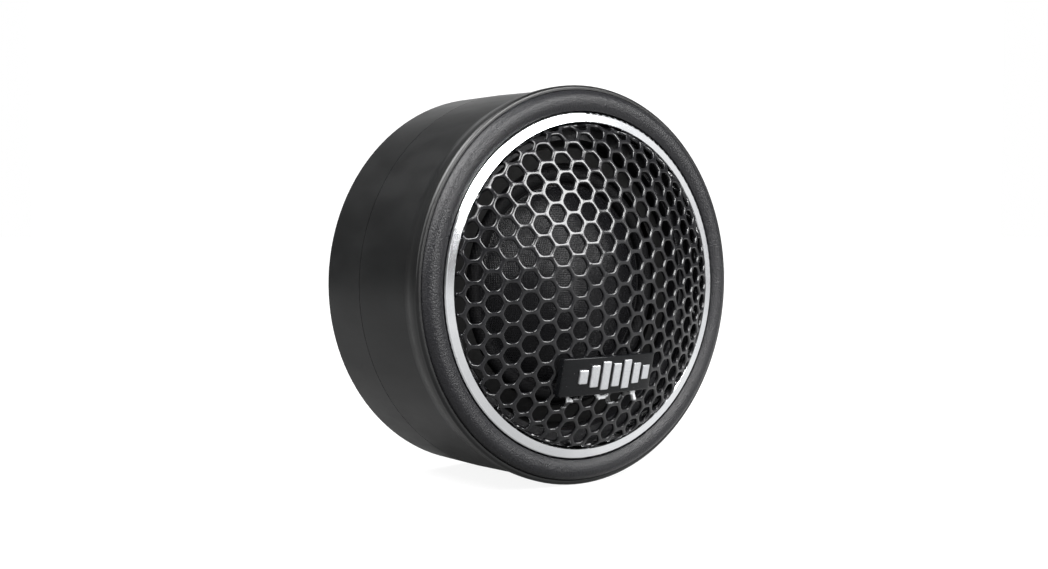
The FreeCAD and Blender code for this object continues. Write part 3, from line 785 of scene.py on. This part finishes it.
def badge():
    half_w, half_h = BADGE_SIZE[0] / 2, BADGE_SIZE[1] / 2
    low, high = BADGE_RISE
    pad_half = (half_w - PAD_INSET, half_h - PAD_INSET)
    pad = cushion_block((0, 0), *pad_half, PAD_CORNER, TOUCH, low, PAD_BEVEL)
    add_piece("badge_foam", mesh_from("badge_foam", *pad), "pod", "badge_pad")
    plate = cushion_block((0, 0), half_w, half_h, PLATE_CORNER, low, high, PLATE_BEVEL)
    plate_mesh = mesh_from("badge_lacquered_plate", *plate)
    add_piece("badge_lacquered_plate", plate_mesh, "pod", "badge_plate")
    bars = []
    first = BAR_SHIFT - BAR_STEP * (len(BAR_HEIGHTS) - 1) / 2
    for n, height in enumerate(BAR_HEIGHTS):
        middle = (first + n * BAR_STEP, 0)
        size = (BAR_WIDTH / 2, height / 2)
        top = high + EMBLEM_RISE
        bars.append(cushion_block(middle, *size, BAR_CORNER, high - TOUCH, top, BAR_BEVEL))
    add_piece("badge_bars", mesh_from("badge_bars", *merge(bars)), "pod", "badge_emblem")


# Diaphragm, its surround and the coil

FILM = 0.15               # thickness of the dome and of the half-roll
FORMER_HALF_WALL = 0.04
LIP_GAP = 0.05            # from the dome's lip to the half-roll
ROLL_CENTRE_R = 14.1
PIN_R = 0.01              # radius left open on the axis of a turned piece
DOME_STEPS = 48


def diaphragm():
    lip_r, foot, top = reach("diaphragm_dome")
    coil_r = reach("voice_coil_former")[0] - FORMER_HALF_WALL
    rise = top - FILM - foot
    ball = (rise ** 2 + coil_r ** 2) / (2 * rise)
    centre = foot + rise - ball
    outline = []
    for skin in (ball + FILM, ball):
        lean = asin(coil_r / skin)
        tilts = [lean * k / DOME_STEPS for k in range(DOME_STEPS + 1)]
        side = [(skin * sin(tilt), centre + skin * cos(tilt)) for tilt in tilts]
        if skin == ball:
            side.reverse()
        outline += side
        if skin > ball:
            outline += [(lip_r, foot + FILM), (lip_r, foot)]
    outline[0] = (PIN_R, outline[0][1])
    outline[-1] = (PIN_R, outline[-1][1])
    points, faces = lathe(outline)
    add_piece("dome_diaphragm", mesh_from("dome_diaphragm", points, faces), "diaphragm",
              "diaphragm_dome", sharp=60)


def half_roll():
    outer, foot, top = reach("surround")
    inner = reach("diaphragm_dome")[0] + LIP_GAP
    roll = top - foot
    film_top = foot + FILM
    outline = [(inner, film_top)]
    outline += arc_points((ROLL_CENTRE_R, foot + TOUCH), roll - TOUCH, 170, 10, 28)
    outline += [(outer, film_top), (outer, foot)]
    outline += arc_points((ROLL_CENTRE_R, foot), roll - FILM, 0, 180, 28)
    outline += [(inner, foot)]
    mesh = mesh_from("half_roll_surround", *lathe(outline, 300))
    add_piece("half_roll_surround", mesh, "pod", "surround", sharp=60)


def winding(turns=20):
    """The coil: each turn of wire shows as a round ridge."""
    outer, low, high = reach("voice_coil_winding")
    inner = reach("voice_coil_former")[0]
    wire = (high - low) / turns / 2
    outline = [(inner, low)]
    for n in range(turns):
        outline += arc_points((outer - wire, low + wire * (2 * n + 1)), wire, -85, 85, 6)
    outline += [(inner, high)]
    mesh = mesh_from("wound_coil", *lathe(outline, 180))
    add_piece("wound_coil", mesh, "diaphragm", "voice_coil_winding", sharp=80)


FELT_EDGE = 0.5           # rounding of the felt's front edge
FELT_SPREAD = 0.12        # how far its face is uneven
FELT_RINGS = 40
FELT_CLUMPS = 1.6         # clumps of fibres for each mm
FELT_FLAT_FOOT = 0.05     # the felt stays flat this close to the pole plate


def felt_pad():
    """Disc with a soft edge and an uneven, fibrous face."""
    outer, low, high = reach("damping_pad")
    soft, spread = FELT_EDGE, FELT_SPREAD
    outline = [(PIN_R, low), (outer - spread, low)]
    outline += arc_points((outer - spread - soft, high - spread - soft), soft, 0, 90, 8)
    face_r = outer - spread - soft
    outline += [(face_r * (1 - k / FELT_RINGS), high - spread) for k in range(1, FELT_RINGS)]
    outline += [(PIN_R, high - spread)]
    points, faces = lathe(outline, 160)
    rough = []
    for p in points:
        lift = noise.fractal(Vector(p) * FELT_CLUMPS, 0.8, 2.0, 4) * spread
        keep = 0.0 if -p[1] < low + FELT_FLAT_FOOT else 1.0
        rough.append(Vector(p) + Vector((0, -1, 0)) * min(lift, spread) * keep)
    mesh = mesh_from("felt_disc", rough, faces)
    add_piece("felt_disc", mesh, "pod", "damping_pad", sharp=70)


grille_dome()
badge()
diaphragm()
half_roll()
winding()
felt_pad()
for name, piece in NODES.items():
    if name in NODE_SLOTS:
        piece.data.materials.clear()
        piece.data.materials.append(SLOTS[NODE_SLOTS[name]])


# Floor, backdrop and lights

FLOOR_AT = CAD_BOX[0][2] / MM - TOUCH
FLOOR_R = 4000
FLOOR_SIDES = 48
AHEAD = Vector((0.605, 0.795, 0))
BOARD_AWAY = 700
BOARD_HALF = 330
BOARD_FROM, BOARD_TO = -20, 420
DARK_SIDE = 0.12          # share of the paper's glow that the pod's left mirrors
DARK_TO, LIGHT_FROM = -0.3, 0.4          # sines of the directions between which that share grows
MIRRORED_OVER = (0.04, 0.35)             # distances, in metres, of the near and far strengths
SEEN_OVER = (0.03, 0.45)
ROOM_GLOW = 0.12          # the world's strength for light
ROOM_SEEN = 1.0           # and for the camera


def stage_piece(name, points, seen, mirrored, paint):
    """Pale paper with its own glow, as (near, far) strengths for what the camera sees and for
    what the object mirrors: there it is white only on the right, so the pod's left stays dark."""
    mesh = bpy.data.meshes.new(name)
    mesh.from_pydata([Vector(p) * MM for p in points], [], [tuple(range(len(points)))])
    piece = bpy.data.objects.new(name, mesh)
    scene.collection.objects.link(piece)
    look = Look(name, (paint, paint, paint), 0.9, Specular_IOR_Level=0.0)
    look.shader.inputs["Emission Color"].default_value = (1, 1, 1, 1)
    x, y, _ = look.parts()
    away = look.distance(x, y)
    right = look.span(look.math("DIVIDE", x, away), DARK_TO, LIGHT_FROM, DARK_SIDE, 1.0)
    for_object = look.math("MULTIPLY", look.span(away, *MIRRORED_OVER, *mirrored), right)
    for_camera = look.span(away, *SEEN_OVER, *seen)
    camera = look.node("LightPath").outputs["Is Camera Ray"]
    kept = look.math("MULTIPLY", for_object, look.math("SUBTRACT", 1.0, camera))
    glow = look.math("ADD", look.math("MULTIPLY", for_camera, camera), kept)
    look.link(glow, look.shader.inputs["Emission Strength"])
    mesh.materials.append(look.material)


def softbox(name, way, distance, size, radiance):
    """Rectangular light that faces the object, by the brightness of its face."""
    data = bpy.data.lights.new(name, "AREA")
    data.shape = "RECTANGLE"
    data.size, data.size_y = size[0] * MM, size[1] * MM
    data.energy = radiance * pi * data.size * data.size_y
    light = bpy.data.objects.new(name, data)
    scene.collection.objects.link(light)
    way = Vector(way).normalized()
    light.location = way * distance * MM
    light.rotation_euler = (-way).to_track_quat("-Z", "Y").to_euler()


def studio():
    turns = [2 * pi * k / FLOOR_SIDES for k in range(FLOOR_SIDES)]
    floor = [(FLOOR_R * cos(a), FLOOR_R * sin(a), FLOOR_AT) for a in turns]
    stage_piece("studio_floor", floor, (0.9, 1.03), (0.65, 0.5), 0.12)
    side = Vector((-AHEAD.y, AHEAD.x, 0))
    middle = AHEAD * BOARD_AWAY
    wall = []
    ends = ((-1, BOARD_FROM), (1, BOARD_FROM), (1, BOARD_TO), (-1, BOARD_TO))
    for hand, up in ends:
        spot = middle + side * BOARD_HALF * hand
        wall.append((spot.x, spot.y, up))
    stage_piece("studio_board", wall, (1.0, 1.0), (0.5, 0.5), 0.1)
    softbox("white_bank", (0.66, -0.73, 0.2), 1300, (1150, 1000), 0.95)
    softbox("key_top", (-0.47, -0.08, 0.8), 620, (880, 420), 13)
    softbox("grille_light", (0.335, -0.845, 0.425), 760, (390, 390), 23)
    softbox("shoulder_light", (-0.38, -0.47, 0.76), 620, (320, 140), 24)
    softbox("left_strip", (-0.93, 0.12, 0.34), 520, (240, 240), 5)
    world = bpy.data.worlds.new("studio")
    scene.world = world
    world.use_nodes = True
    tree = world.node_tree
    room = tree.nodes["Background"]
    room.inputs["Color"].default_value = (1, 1, 1, 1)
    room.inputs["Strength"].default_value = ROOM_GLOW
    seen = tree.nodes.new("ShaderNodeBackground")
    seen.inputs["Color"].default_value = (1, 1, 1, 1)
    seen.inputs["Strength"].default_value = ROOM_SEEN
    rays = tree.nodes.new("ShaderNodeLightPath")
    mix = tree.nodes.new("ShaderNodeMixShader")
    tree.links.new(rays.outputs["Is Camera Ray"], mix.inputs[0])
    tree.links.new(room.outputs[0], mix.inputs[1])
    tree.links.new(seen.outputs[0], mix.inputs[2])
    tree.links.new(mix.outputs[0], tree.nodes["World Output"].inputs["Surface"])


studio()
